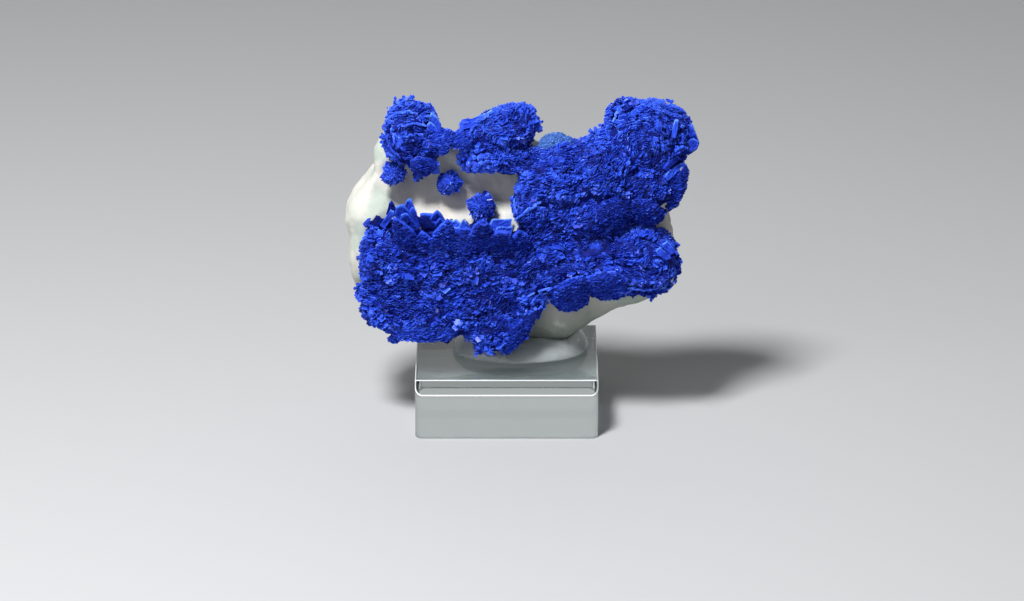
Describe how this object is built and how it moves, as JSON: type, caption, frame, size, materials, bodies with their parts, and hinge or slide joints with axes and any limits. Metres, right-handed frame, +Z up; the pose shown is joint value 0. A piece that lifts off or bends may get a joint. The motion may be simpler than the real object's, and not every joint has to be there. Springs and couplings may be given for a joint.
{
  "type": "azurite specimen on a clear display block",
  "caption": "Deep blue azurite crusts on an upright slab of white clay, fixed with milky gel to a low clear block with bevelled top edges.",
  "frame": {"origin": "centre of the clear block's flat underside", "axes": "+Z up, -Y towards the viewer of the crusted face, +X to that viewer's right"},
  "size_m": [0.0776, 0.04, 0.074],
  "materials": {
    "acrylic": "clear polished acrylic",
    "gel": "milky translucent mounting gel",
    "clay": "matte white kaolin clay",
    "azurite": "vitreous deep blue crystal blades"
  },
  "bodies": {
    "root": {"acrylic_block": "acrylic", "mounting_gel": "gel", "clay_matrix": "clay", "azurite_crust": "azurite", "azurite_upper_left": "azurite", "azurite_rosette_left": "azurite", "azurite_rosette_middle": "azurite"}
  },
  "joints": []
}
